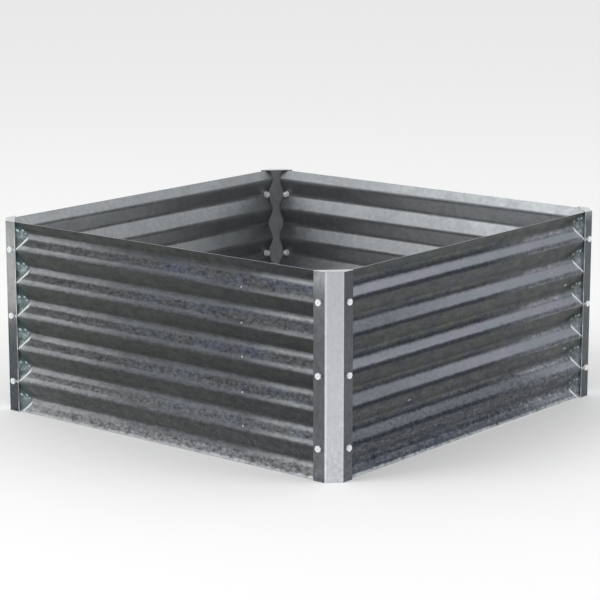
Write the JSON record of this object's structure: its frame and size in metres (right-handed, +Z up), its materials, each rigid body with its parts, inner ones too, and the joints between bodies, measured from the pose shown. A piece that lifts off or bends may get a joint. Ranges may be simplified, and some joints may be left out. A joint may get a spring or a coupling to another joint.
{
  "type": "raised garden bed",
  "caption": "Square raised garden bed of corrugated galvanised sheet, bolted to folded corner posts with flat cap plates, open at the top and at the ground.",
  "frame": {"origin": "on the ground, in the middle of the bed", "axes": "+Z up, -Y the front, +X the right side"},
  "size_m": [1.0106, 1.0106, 0.45],
  "materials": {
    "post_sheet": "galvanised sheet, smooth, faint spangle",
    "panel_sheet": "weathered galvanised sheet, dark, with spangle and dried water spots",
    "zinc_plated_fasteners": "bright zinc plate"
  },
  "bodies": {
    "root": {"bolts_back_panel_left": "zinc_plated_fasteners", "bolts_back_panel_right": "zinc_plated_fasteners", "bolts_front_panel_left": "zinc_plated_fasteners", "bolts_front_panel_right": "zinc_plated_fasteners", "bolts_left_panel_back": "zinc_plated_fasteners", "bolts_left_panel_front": "zinc_plated_fasteners", "bolts_right_panel_back": "zinc_plated_fasteners", "bolts_right_panel_front": "zinc_plated_fasteners", "corner_post_back_left": "post_sheet", "corner_post_back_right": "post_sheet", "corner_post_front_left": "post_sheet", "corner_post_front_right": "post_sheet", "nuts_back_panel_left": "zinc_plated_fasteners", "nuts_back_panel_right": "zinc_plated_fasteners", "nuts_front_panel_left": "zinc_plated_fasteners", "nuts_front_panel_right": "zinc_plated_fasteners", "nuts_left_panel_back": "zinc_plated_fasteners", "nuts_left_panel_front": "zinc_plated_fasteners", "nuts_right_panel_back": "zinc_plated_fasteners", "nuts_right_panel_front": "zinc_plated_fasteners", "side_panel_back": "panel_sheet", "side_panel_front": "panel_sheet", "side_panel_left": "panel_sheet", "side_panel_right": "panel_sheet", "washers_back_panel_left": "zinc_plated_fasteners", "washers_back_panel_right": "zinc_plated_fasteners", "washers_front_panel_left": "zinc_plated_fasteners", "washers_front_panel_right": "zinc_plated_fasteners", "washers_left_panel_back": "zinc_plated_fasteners", "washers_left_panel_front": "zinc_plated_fasteners", "washers_right_panel_back": "zinc_plated_fasteners", "washers_right_panel_front": "zinc_plated_fasteners"}
  },
  "joints": []
}
